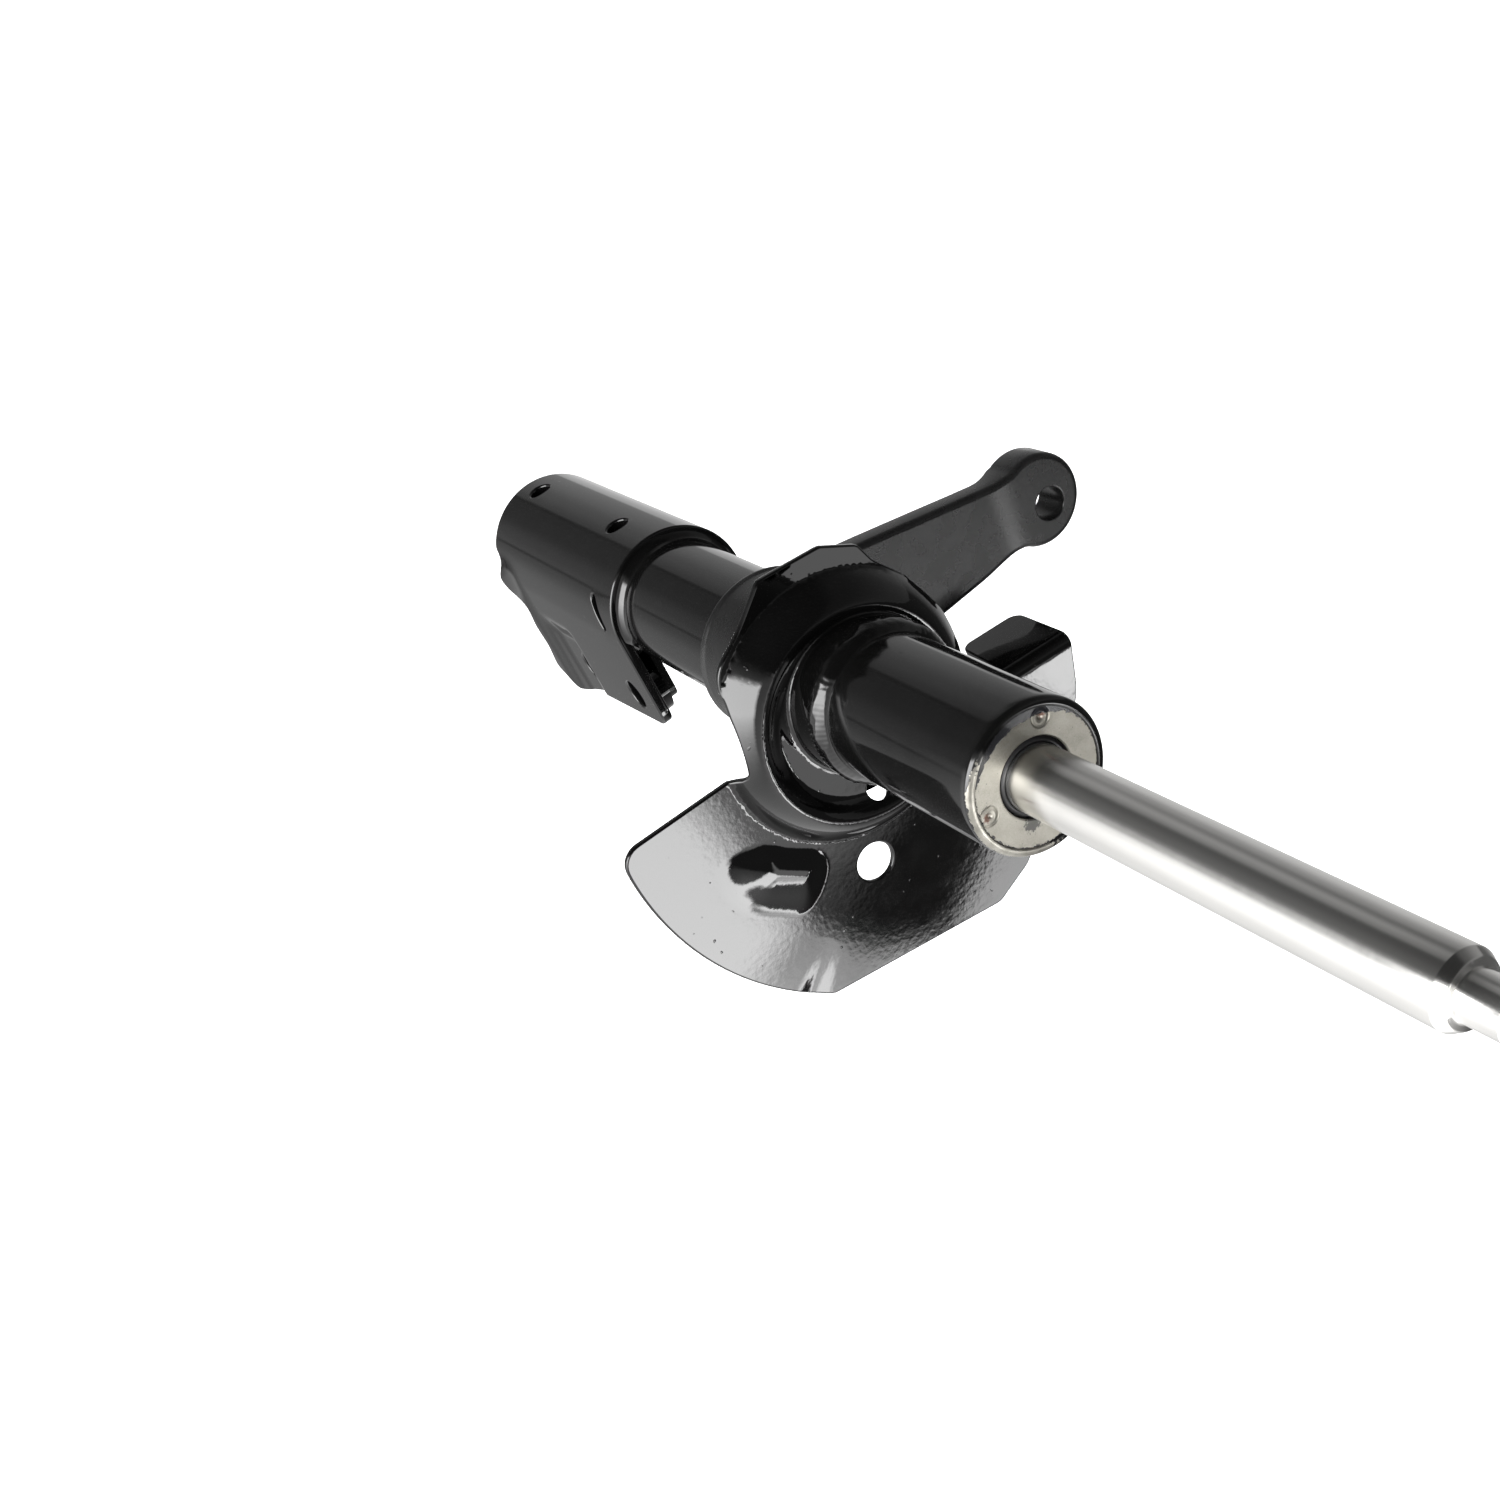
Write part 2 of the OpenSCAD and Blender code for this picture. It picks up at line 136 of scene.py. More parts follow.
def inside(points, loop):
    """Which points lie inside a closed outline."""
    a, b = loop, np.roll(loop, -1, 0)
    hit = np.zeros(len(points), bool)
    for (x0, y0), (x1, y1) in zip(a, b):
        if y0 == y1:
            continue
        crosses = (points[:, 1] < y0) != (points[:, 1] < y1)
        at = x0 + (points[:, 1] - y0) * (x1 - x0) / (y1 - y0)
        hit ^= crosses & (points[:, 0] < at)
    return hit


def gap_to(points, loop):
    """Distance from each point to the nearest corner of an outline."""
    out = np.full(len(points), 1e9)
    for p in loop:
        out = np.minimum(out, np.hypot(points[:, 0] - p[0], points[:, 1] - p[1]))
    return out


def inward(loop, d, into=1):
    """The outline moved by d into the material: into is 1 for the rim and -1 for a hole."""
    area = (loop[:, 0] * np.roll(loop[:, 1], -1) - np.roll(loop[:, 0], -1) * loop[:, 1]).sum()
    side = math.copysign(1, area) * into
    t0, t1 = loop - np.roll(loop, 1, 0), np.roll(loop, -1, 0) - loop
    t0 /= np.linalg.norm(t0, axis=1)[:, None]
    t1 /= np.linalg.norm(t1, axis=1)[:, None]
    n = np.stack([-(t0 + t1)[:, 1], (t0 + t1)[:, 0]], 1) * side
    n /= np.linalg.norm(n, axis=1)[:, None]
    lean = np.maximum(0.5, (n * np.stack([-t1[:, 1], t1[:, 0]], 1) * side).sum(1))
    return loop + n * (d / lean)[:, None]


def plate(outline, holes, surface, thick, edge, step, edge_steps=3, finer=None, hole_edge=None):
    """Vertices and faces of a sheet with rounded edges. outline and holes lie in the sheet's own flat
    plan, surface(a, b) gives the outer skin's points, and thick is a number or a function of (a, b)."""
    loops = [(resample(outline, step), 1)] + [(h, -1) for h in holes]
    arcs = [math.pi / 2 * k / edge_steps for k in range(edge_steps + 1)]
    edges_of = [edge if side > 0 else (hole_edge or edge) for _, side in loops]
    rims = [[inward(loop, r * (1 - math.cos(a)), side) for a in arcs]
            for (loop, side), r in zip(loops, edges_of)]
    low, high = rims[0][0].min(0), rims[0][0].max(0)
    nx, ny = np.ceil((high - low) / step).astype(int)
    gx, gy = np.meshgrid(np.arange(nx + 1), np.arange(ny + 1))
    row_gap = 0.866
    grid = np.stack([(gx + 0.5 * (gy % 2)).ravel(), (gy * row_gap).ravel()], 1) * step + low
    if finer is not None:
        grid = np.concatenate([grid, finer])
    ok = inside(grid, rims[0][-1])
    for ring in rims[1:]:
        ok &= ~inside(grid, ring[-1])
    grid = grid[ok]
    for ring in rims:
        grid = grid[gap_to(grid, ring[-1]) > 0.6 * step]
    flat, edges = [], []
    for ring in rims:
        n, at = len(ring[-1]), len(flat)
        edges += [(at + i, at + (i + 1) % n) for i in range(n)]
        flat += list(ring[-1])
    flat = np.array(flat + list(grid))
    made = delaunay_2d_cdt([Vector(p) for p in flat], edges, [], 0, 1e-6)
    pts = np.array([tuple(p) for p in made[0]])
    tris = np.array([f for f in made[2] if len(f) == 3])
    mid = pts[tris].mean(1)
    good = inside(mid, rims[0][-1])
    for ring in rims[1:]:
        good &= ~inside(mid, ring[-1])
    tris = tris[good]
    origin = {}
    for i, orig in enumerate(made[3]):
        for o in orig:
            origin[o] = i
    faces = []
    count = len(pts)
    faces += [tuple(t) for t in tris]
    faces += [tuple(t[::-1] + count) for t in tris]
    points = [*pts, *pts]
    share = [0.0] * count + [1.0] * count
    drop = [0.0] * (2 * count)
    at_flat = 0
    for ring, (_, side), r in zip(rims, loops, edges_of):
        n = len(ring[0])
        inner = [origin[at_flat + i] for i in range(n)]
        at_flat += n
        area = (ring[0][:, 0] * np.roll(ring[0][:, 1], -1) - np.roll(ring[0][:, 0], -1) * ring[0][:, 1]).sum()
        flip = (area > 0) == (side > 0)
        before = inner
        rows = [(k, 0.0) for k in range(edge_steps - 1, -1, -1)] + [(k, 1.0) for k in range(edge_steps)]
        for k, face_side in rows:
            start = len(points)
            points += list(ring[k])
            share += [face_side] * n
            drop += [r * (1 - math.sin(arcs[k]))] * n
            now = list(range(start, start + n))
            faces += strip(before, now, not flip)
            before = now
        faces += strip(before, [i + count for i in inner], not flip)
    points, share, drop = np.array(points), np.array(share), np.array(drop)
    skin = surface(points[:, 0], points[:, 1])
    e = 0.02
    da = surface(points[:, 0] + e, points[:, 1]) - surface(points[:, 0] - e, points[:, 1])
    db = surface(points[:, 0], points[:, 1] + e) - surface(points[:, 0], points[:, 1] - e)
    normal = np.cross(da, db)
    normal /= np.linalg.norm(normal, axis=1)[:, None]
    t = thick(points[:, 0], points[:, 1]) if callable(thick) else np.full(len(points), float(thick))
    sink = np.where(share > 0.5, t - drop, drop)
    return skin - normal * sink[:, None], faces


def strip(a, b, flip=False):
    """Quads between two closed rows of vertices."""
    n = len(a)
    quads = [(a[i], a[(i + 1) % n], b[(i + 1) % n], b[i]) for i in range(n)]
    return [q[::-1] for q in quads] if flip else quads


def lathe(profile, n=160, wobble=None):
    """A closed profile of (radius, z) turned about Z. wobble(angle, r, z) may move each ring's points."""
    profile = np.asarray(profile, float)
    a = np.arange(n) * 2 * math.pi / n
    points, faces, m = [], [], len(profile)
    for r, z in profile:
        rr, zz = np.full(n, r), np.full(n, z)
        if wobble:
            rr, zz = wobble(a, rr, zz)
        points.append(np.stack([rr * np.cos(a), rr * np.sin(a), zz], 1))
    for i in range(m):
        j = (i + 1) % m
        faces += strip(list(range(i * n, i * n + n)), list(range(j * n, j * n + n)), True)
    return np.concatenate(points), faces


def join(*parts):
    """One mesh of several."""
    points, faces, at = [], [], 0
    for p, f in parts:
        points.append(p)
        faces += [tuple(i + at for i in face) for face in f]
        at += len(p)
    return np.concatenate(points), faces


def turned(mesh, angle):
    """The mesh turned about Z."""
    c, s = math.cos(angle), math.sin(angle)
    return mesh[0] @ np.array([[c, s, 0], [-s, c, 0], [0, 0, 1]]), mesh[1]


def make(name, mesh, body, material, stands_for=(), sharp=35):
    """A Blender object of a mesh in millimetres, on its body and material."""
    data = bpy.data.meshes.new(name)
    data.from_pydata([tuple(p) for p in mesh[0] * MM], [], mesh[1])
    data.validate()
    data.shade_smooth()
    data.set_sharp_from_angle(angle=math.radians(sharp))
    piece = bpy.data.objects.new(name, data)
    bpy.context.scene.collection.objects.link(piece)
    data.materials.append(material)
    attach(piece, body)
    if stands_for:
        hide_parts(*stands_for)
    return piece


def wave(x, y, z=0.0, scale=1.0, seed=0):
    """Smooth noise from -1 to 1, as a sum of seeded sine waves."""
    draw = np.random.default_rng(seed)
    out = 0.0
    for _ in range(8):
        k = draw.normal(size=3)
        k *= draw.uniform(0.6, 1.6) / np.linalg.norm(k) / scale * 2
        out = out + np.sin(k[0] * x + k[1] * y + k[2] * z + draw.uniform(0, 2 * math.pi))
    return out / 8


def smooth(t):
    """Soft step from 0 to 1."""
    t = np.clip(t, 0, 1)
    return t * t * (3 - 2 * t)


# ---- Material helpers ----

class Nodes:
    """A short way to write the nodes of a material or a world. A name makes a new material."""

    def __init__(self, owner):
        self.owner = bpy.data.materials.new(owner) if isinstance(owner, str) else owner
        self.owner.use_nodes = True
        self.tree = self.owner.node_tree
        self.shader = self.tree.nodes.get("Principled BSDF")
        self.where = self.new("TexCoord").outputs["Object"]

    def new(self, kind, inputs=(), **settings):
        """A node, with its inputs linked to sockets or set to values."""
        node = self.tree.nodes.new("ShaderNode" + kind)
        for key, value in settings.items():
            setattr(node, key, value)
        for key, value in dict(inputs).items():
            if isinstance(value, bpy.types.NodeSocket):
                self.tree.links.new(value, node.inputs[key])
            else:
                node.inputs[key].default_value = value
        return node

    def stretched(self, scale):
        """The place on the object, scaled along each axis."""
        return self.new("Mapping", {"Vector": self.where, "Scale": scale}).outputs["Vector"]

    def noise(self, size, detail=2.0, rough=0.5, at=None):
        """Noise whose features are about size millimetres across."""
        inputs = {"Vector": at or self.where, "Scale": 1 / (size * MM), "Detail": detail, "Roughness": rough}
        return self.new("TexNoise", inputs).outputs["Fac"]

    def ramp(self, value, low, high, start=0.0, end=1.0):
        """From start to end while value goes from low to high."""
        inputs = {"Value": value, "From Min": low, "From Max": high, "To Min": start, "To Max": end}
        return self.new("MapRange", inputs).outputs["Result"]

    def math(self, how, a, b=0.0):
        """One step of arithmetic."""
        return self.new("Math", {0: a, 1: b}, operation=how).outputs[0]

    def times(self, first, *others):
        """The product of all of them."""
        for other in others:
            first = self.math("MULTIPLY", first, other)
        return first

    def along(self, turn):
        """How far the point lies in the direction at angle turn round the axis."""
        x, y, _ = self.new("SeparateXYZ", {"Vector": self.where}).outputs
        return self.math("ADD", self.times(x, math.cos(turn)), self.times(y, math.sin(turn)))

    def mix(self, factor, a, b):
        """A colour between a and b."""
        node = self.new("Mix", {"Factor": factor}, data_type="RGBA")
        for socket, value in ((node.inputs[6], a), (node.inputs[7], b)):
            if isinstance(value, bpy.types.NodeSocket):
                self.tree.links.new(value, socket)
            else:
                socket.default_value = value
        return node.outputs[2]

    def bump(self, height, depth, before=None):
        """Bump of that many millimetres."""
        inputs = {"Height": height, "Distance": depth * MM, "Strength": 1.0}
        if before:
            inputs["Normal"] = before
        return self.new("Bump", inputs).outputs["Normal"]

    def give(self, **values):
        """Set the shader's inputs, and return the material."""
        for key, value in values.items():
            socket = self.shader.inputs[key.replace("_", " ")]
            if isinstance(value, bpy.types.NodeSocket):
                self.tree.links.new(value, socket)
            else:
                socket.default_value = value
        return self.owner


def grey(v):
    """A grey colour."""
    return (v, v, v, 1)


def paint(name, base, low, high, peel, peel_size):
    """Black paint with orange peel, thin cloudiness, and small dust nibs."""
    n = Nodes(name)
    cloud = n.noise(18, 4)
    nibs = n.ramp(n.noise(2.6, 1), 0.77, 0.84)
    color = n.mix(cloud, grey(base * 0.75), grey(base * 1.4))
    rough = n.ramp(n.noise(9, 5), 0.3, 0.7, low, high)
    peeled = n.bump(n.noise(peel_size, 2), peel)
    return n.give(Base_Color=color, Roughness=rough, Normal=n.bump(nibs, 0.05, peeled),
                  Specular_IOR_Level=0.5)


def metal(name, color, low, high, grain, grain_size, stain=None):
    """Bare metal with a fine grain, between two roughness values."""
    n = Nodes(name)
    tone = n.noise(12, 5)
    dark = tuple(c * 0.72 for c in color)
    base = n.mix(n.ramp(tone, 0.3, 0.7), (*dark, 1), (*color, 1))
    if stain:
        base = n.mix(n.ramp(n.noise(6, 6, 0.7), 0.58, 0.75), base, (*stain, 1))
    rough = n.ramp(n.noise(3, 4), 0.3, 0.7, low, high)
    return n.give(Base_Color=base, Metallic=1.0, Roughness=rough,
                  Normal=n.bump(n.noise(grain_size, 3), grain))


# Round the axis: the cap's overspray, its dark patch, the tube's bare edge, and the first of three pits
OVERSPRAY_TURN = math.radians(-88)
PATCH_TURN, PATCH_R = math.radians(60), 14.6
BARE_TURN = math.radians(18)
CAP_TURN = math.radians(1.7)
PITS, PIT_R = 3, 20.0
TUBE_LOOK = (0.0025, 0.05, 0.10, 0.0008, 3.0)


def tube_paint():
    """The tube's paint, scraped to bare steel over the rolled top edge on one side."""
    n = Nodes(paint("black_tube_skin", *TUBE_LOOK))
    reach = n.ramp(n.along(BARE_TURN), 0.004, 0.018, 0.0, 0.0019)
    ragged = n.ramp(n.noise(1.6, 6, 0.7), 0.3, 0.7, -0.0006, 0.0006)
    _, _, height = n.new("SeparateXYZ", {"Vector": n.where}).outputs
    level = n.math("ADD", n.math("ADD", height, reach), ragged)
    bare = n.ramp(level, (TUBE_TOP + 0.65) * MM, (TUBE_TOP + 0.75) * MM)
    color, rough, normal = (n.shader.inputs[key].links[0].from_socket
                            for key in ("Base Color", "Roughness", "Normal"))
    steel = n.mix(n.ramp(n.noise(3, 5), 0.3, 0.7), (0.17, 0.163, 0.142, 1), (0.28, 0.27, 0.24, 1))
    return n.give(Base_Color=n.mix(bare, color, steel), Metallic=n.times(bare, 0.85),
                  Roughness=n.math("ADD", rough, n.times(bare, 0.25)),
                  Normal=n.bump(n.math("SUBTRACT", 1.0, bare), PAINT_DEPTH, normal))


def hard_chrome():
    """Ground and chromed bar: almost even, with faint rings from grinding and a few fine scuffs. Its
    reflections are drawn out along the bar."""
    n = Nodes("rod_chrome")
    rings = n.noise(0.5, 3, at=n.stretched((0.05, 0.05, 1)))
    scuffs = n.ramp(n.noise(1.5, 5, 0.75, n.stretched((1, 1, 0.25))), 0.66, 0.75)
    color = n.mix(n.noise(30, 2), (0.76, 0.75, 0.725, 1), (0.84, 0.83, 0.81, 1))
    color = n.mix(n.times(scuffs, 0.3), color, (0.45, 0.42, 0.38, 1))
    rough = n.math("ADD", n.ramp(rings, 0.3, 0.7, 0.20, 0.23), n.times(scuffs, 0.06))
    round_the_bar = n.new("Tangent", direction_type="RADIAL", axis="Z").outputs["Tangent"]
    return n.give(Base_Color=color, Metallic=1.0, Roughness=rough,
                  Anisotropic=0.85, Anisotropic_Rotation=0.25, Tangent=round_the_bar)


def soft(name, color, rough, size):
    """Rubber or plastic with a fine matt skin."""
    n = Nodes(name)
    base = n.mix(n.noise(5, 4), (*[c * 0.7 for c in color], 1), (*[c * 1.3 for c in color], 1))
    return n.give(Base_Color=base, Roughness=n.ramp(n.noise(2, 3), 0.3, 0.7, rough - 0.1, rough + 0.1),
                  Normal=n.bump(n.noise(size, 2), 0.01))


def cap_metal():
    """The closing disc: bare steel, black overspray with a ragged border at its rim, and brown rust in
    its three punched pits."""
    n = Nodes("cap_steel")
    x, y, _ = n.new("SeparateXYZ", {"Vector": n.where}).outputs
    radius = n.math("SQRT", n.math("ADD", n.times(x, x), n.times(y, y)))
    thick = n.ramp(n.along(OVERSPRAY_TURN), 0.010, 0.019, 0.0, 0.0026)
    ragged = n.ramp(n.noise(1.6, 6, 0.7), 0.3, 0.7, -0.0008, 0.0008)
    edge = n.math("ADD", n.math("ADD", radius, thick), ragged)
    painted = n.ramp(edge, 0.02215, 0.02225)
    specks = n.ramp(n.noise(0.9, 2), 0.73, 0.76)
    tone = n.mix(n.ramp(n.noise(7, 5), 0.3, 0.7), (0.21, 0.20, 0.172, 1), (0.31, 0.297, 0.258, 1))
    tone = n.mix(n.ramp(n.noise(0.5, 3), 0.35, 0.65, 0, 0.35), tone, (0.34, 0.33, 0.30, 1))

    def away(r, turn):
        """Distance from a place on the cap's face."""
        place = (r * MM * math.cos(turn), r * MM * math.sin(turn), CAP_FACE * MM)
        return n.new("VectorMath", {0: n.where, 1: place}, operation="DISTANCE").outputs["Value"]

    rust = 0.0
    for i in range(PITS):
        blur = n.ramp(n.noise(0.7, 4), 0.3, 0.7, -0.0006, 0.0006)
        from_pit = away(PIT_R, CAP_TURN + i * 2 * math.pi / PITS)
        spot = n.ramp(n.math("ADD", from_pit, blur), 0.0010, 0.0017, 1, 0)
        rust = n.math("MAXIMUM", rust, spot)
    tone = n.mix(n.times(rust, 0.85), tone, (0.10, 0.035, 0.018, 1))
    blur = n.ramp(n.noise(1.5, 6, 0.7), 0.3, 0.7, -0.0016, 0.0016)
    patch = n.ramp(n.math("ADD", away(PATCH_R, PATCH_TURN), blur), 0.0026, 0.0029, 1, 0)
    tone = n.mix(n.times(n.math("MAXIMUM", patch, specks), 0.8), tone, (0.05, 0.05, 0.052, 1))
    color = n.mix(painted, tone, (0.014, 0.014, 0.016, 1))
    metallic = n.times(n.math("SUBTRACT", 1.0, n.math("MAXIMUM", painted, rust)), 0.85)
    rough = n.math("SUBTRACT", 0.42, n.times(painted, 0.25))
    film = n.bump(painted, PAINT_DEPTH, n.bump(n.noise(0.35, 3), 0.012))
    return n.give(Base_Color=color, Metallic=metallic, Roughness=rough, Normal=film, Specular_IOR_Level=0.5)


GLOSS = paint("black_gloss_paint", 0.002, 0.03, 0.055, 0.011, 2.4)
TUBE_PAINT = paint("black_tube_paint", *TUBE_LOOK)
FORGED = paint("black_forging_paint", 0.006, 0.22, 0.32, 0.012, 1.3)
WELD = paint("black_weld_paint", 0.002, 0.06, 0.12, 0.02, 1.8)
TUBE_SKIN = tube_paint()
CAP_STEEL = cap_metal()
CHROME = hard_chrome()
BRIGHT = metal("bright_steel", (0.62, 0.62, 0.65), 0.22, 0.34, 0.004, 0.8)
SINTERED = metal("sintered_iron", (0.42, 0.41, 0.40), 0.45, 0.6, 0.02, 0.5, stain=(0.2, 0.15, 0.1))
BRONZE = metal("bush_bronze", (0.62, 0.44, 0.22), 0.3, 0.4, 0.005, 0.7)
RUBBER = soft("seal_rubber", (0.012, 0.012, 0.013), 0.42, 0.6)
BAND = soft("band_plastic", (0.10, 0.09, 0.08), 0.5, 0.5)
BUMPER = soft("bumper_elastomer", (0.22, 0.19, 0.14), 0.62, 1.0)


# ---- Tube, cap and seal ----

def reserve_tube():
    """The outer tube, with its top edge rolled in over the closing cap."""
    wall, lip, foot = 2.5, 2.6, 0.4
    roll_r, lip_r = 2.2, 0.5
    lip_in, top = TUBE_R - 3.1, TUBE_TOP
    roll = [(TUBE_R - roll_r + roll_r * math.cos(a), top - roll_r + roll_r * math.sin(a))
            for a in np.linspace(0, math.pi / 2, 9)]
    inner = [(lip_in + lip_r - lip_r * math.sin(a), top - lip_r + lip_r * math.cos(a))
             for a in np.linspace(0, math.pi / 2, 5)]
    side = [(TUBE_R, z) for z in np.linspace(foot, top - 4, 24)]
    profile = [(TUBE_R - foot, 0), *side, *roll, *inner, (lip_in, top - lip), (TUBE_R - wall, top - lip),
               (TUBE_R - wall, 0)]
    make("reserve_tube_skin", lathe(profile, 240), "strut", TUBE_SKIN, ["reserve_tube"])


def closing_cap():
    """The disc's face is a fine polar grid, so that its pits and pressed rings are real."""
    rim, hole, n = TUBE_R - 3.15, 13.2, 900
    radii = np.r_[hole, hole + 0.15, hole + 0.4, np.linspace(hole + 0.7, rim - 0.3, 46), rim]
    a = np.arange(n) * 2 * math.pi / n
    r, t = np.meshgrid(radii, a, indexing="ij")
    x, y = r * np.cos(t), r * np.sin(t)
    z = np.full_like(x, CAP_FACE) + 0.03 * wave(x, y, 0, 5, 3)
    z -= 0.35 * (1 - smooth((r - hole) / 0.45))
    ring_r = 3.1
    for i in range(PITS):
        turn = CAP_TURN + i * 2 * math.pi / PITS
        d = np.hypot(x - (PIT_R - 1.0) * math.cos(turn), y - (PIT_R - 1.0) * math.sin(turn))
        z -= 0.38 * np.exp(-((d - ring_r) / 0.26) ** 2) + 0.15 * smooth((ring_r - d) / 0.5)
        z += 0.16 * np.exp(-((d - 1.9) / 0.45) ** 2)
        z -= 0.75 * smooth((1.25 - d) / 0.9)
    top = np.stack([x, y, z], -1).reshape(-1, 3)
    faces = []
    for i in range(len(radii) - 1):
        faces += strip(list(range(i * n, i * n + n)), list(range(i * n + n, i * n + 2 * n)), True)
    ledge, shoulder_r = CAP_FACE - 3.0, TUBE_R - 2.6
    low = []
    for rr, zz in ((rim, ledge), (shoulder_r, ledge), (shoulder_r, CAP_LOW), (hole, CAP_LOW)):
        low.append(np.stack([rr * np.cos(a), rr * np.sin(a), np.full(n, zz)], 1))
    at = len(top)
    rows = [list(range((len(radii) - 1) * n, len(radii) * n))]
    rows += [list(range(at + i * n, at + i * n + n)) for i in range(4)] + [list(range(n))]
    for b, c in zip(rows, rows[1:]):
        faces += strip(b, c, True)
    make("closing_cap_disc", (np.concatenate([top, *low]), faces), "strut", CAP_STEEL,
         ["closing_cap"])


def rod_seal():
    """The rubber seal, whose lip stands up round the rod in the cap's hole."""
    z = CAP_LOW
    lip = [(ROD_R + 0.05, z + 3.6), (ROD_R + 0.35, z + 4.3), (ROD_R + 0.9, z + 4.4), (12.5, z + 3.9),
           (12.9, z + 3.2), (13.0, z + 0.6), (13.0, z), (22.9, z), (22.9, z - 6.5), (15.8, z - 6.5),
           (15.8, z - 3), (13.2, z - 3), (13.2, z - 6), (ROD_R + 0.05, z - 6)]
    make("rod_seal_rubber", lathe(lip, 160), "strut", RUBBER, ["rod_seal"])


# ---- Rod ----

def piston_rod():
    """The rod from its piston neck to the stud, with a real thread and a hexagon socket in its end."""
    pitch, depth = 1.5, 0.92
    thread_from, n = SHOULDER + 14, 96
    thread_to = ROD_END - 1.2
    neck_r, foot, seat = 6.0, rod_low[2], span("piston_washer")[1][2]
    groove, groove_r, groove_w = span("rebound_stop")[0][2] + 1, ROD_R - 0.8, 2
    body = [(0.01, foot), (neck_r - 0.8, foot), (neck_r, foot + 0.8), (neck_r, seat), (ROD_R - 0.6, seat),
            (ROD_R, seat + 0.6), (ROD_R, groove), (groove_r, groove), (groove_r, groove + groove_w),
            (ROD_R, groove + groove_w), *[(ROD_R, z) for z in np.linspace(groove + 8, SHOULDER - 3.2, 12)]]
    chamfer = [(ROD_R - 0.06, SHOULDER - 2.9), (ROD_R - 0.3, SHOULDER - 2.5), (ROD_R - 1.5, SHOULDER - 0.5),
               (ROD_R - 1.8, SHOULDER - 0.15), (ROD_R - 2.2, SHOULDER), (STUD_R + 0.7, SHOULDER),
               (STUD_R + 0.2, SHOULDER + 0.2), (STUD_R, SHOULDER + 0.7), (STUD_R, thread_from - 1.4),
               (STUD_R - 0.3, thread_from - 0.9), (STUD_R - depth, thread_from - 0.2)]
    hex_r, hex_deep = 3.5 / math.cos(math.pi / 6), 8
    a = np.arange(n) * 2 * math.pi / n
    points, faces = lathe(body + chamfer, n)
    faces = faces[:-n]
    zs = np.arange(thread_from, thread_to, pitch / 10)
    rows = [list(range(len(points) - n, len(points)))]
    extra = []

    def add(r, z):
        rows.append(list(range(len(points) + n * len(extra), len(points) + n * (len(extra) + 1))))
        extra.append(np.stack([r * np.cos(a), r * np.sin(a), np.full(n, z)], 1))

    for z in zs:
        phase = (z / pitch - a / (2 * math.pi)) % 1
        fade = min(1, (z - thread_from) / 2, (thread_to - z) / 1.2)
        crest = depth * np.clip(np.abs(phase - 0.5) * 2 * 1.25 - 0.1, 0, 1)
        add(STUD_R - depth + fade * (depth - crest), z)
    sector = (a + math.pi / 6) % (math.pi / 3) - math.pi / 6
    hexagon = hex_r * math.cos(math.pi / 6) / np.cos(sector)
    add(np.full(n, STUD_R - 1.6), ROD_END)
    add(np.full(n, hex_r + 0.5), ROD_END)
    add(hexagon, ROD_END - 0.4)
    add(hexagon, ROD_END - hex_deep)
    add(np.full(n, 0.02), ROD_END - hex_deep - 1)
    for b, c in zip(rows, rows[1:]):
        faces += strip(b, c, True)
    faces += strip(rows[-1], list(range(n)), True)
    make("piston_rod_chromed", (np.concatenate([points, *extra]), faces), "rod", CHROME,
         ["piston_rod"], 30)


# ---- Spring seat with its shield ----

# In the seat's flat plan: the ridge and the shield's arc, the line the flange is bent along, the fillet
# into the neck, and the places of a dent, two holes and the stop
RING = (-2.0, 7.5)
RIDGE_R, RIDGE_FALL = 49.6, 13.0
SHEET = 2.5
ARC_CENTRE, ARC_R = (-18.4, -8.0), 117.7
BEND_FROM, BEND_TO = np.array([-79.3, -51.5]), np.array([-62.4, -29.1])
BEND_R = 4.5
FLANGE = 33.4
BEND_ALONG = unit(BEND_TO - BEND_FROM)
BEND_OUT = np.array([BEND_ALONG[1], -BEND_ALONG[0]])
FILLET = 1.8
NECK_RISE = 9.5
DENT = (-46.0, 103.0)
SHIELD_HOLE, DRAIN_HOLE = (-45, 53, 7.5), (-24.5, 28, 4)
STOP, STOP_LEAN = (-12.0, 69.0), math.radians(17.8)


def ridge_height(x, y):
    """Height of the pressed dish over the shield's plane: a floor inside a round-topped ridge."""
    rho = np.hypot(x - RING[0], y - RING[1])
    crest = 7.5 + 5.0 * smooth((rho - 30.0) / 10.0)
    fall = np.clip((RIDGE_R - rho) / RIDGE_FALL, 0, 1)
    return crest * (1 - (1 - fall) ** 2)


def stop_height(x, y):
    """The raised boss that the spring's end rests against: steep toward the ridge, with a long far side
    and a small bulge. Its form is chosen by how it reflects. A shallow dent lies near the shield's rim."""
    c, k = math.cos(STOP_LEAN), math.sin(STOP_LEAN)
    u = (x - STOP[0]) * c + (y - STOP[1]) * k
    v = -(x - STOP[0]) * k + (y - STOP[1]) * c
    past_end = np.maximum(np.abs(u + 1.0) - 6.0, 0) / np.where(u < 0, 10.0, 23.0)
    side = v / np.where(v < 0, 11.0, 17.0)
    dome = 2.0 * smooth(1 - np.hypot(past_end, side))
    bulge = 0.5 * np.exp(-((u - 9.0) / 3.5) ** 2 - ((v + 6.0) / 3.0) ** 2)
    dent = -0.3 * np.exp(-((x - DENT[0]) / 5.0) ** 2 - ((y - DENT[1]) / 7.0) ** 2)
    return dome + bulge + dent


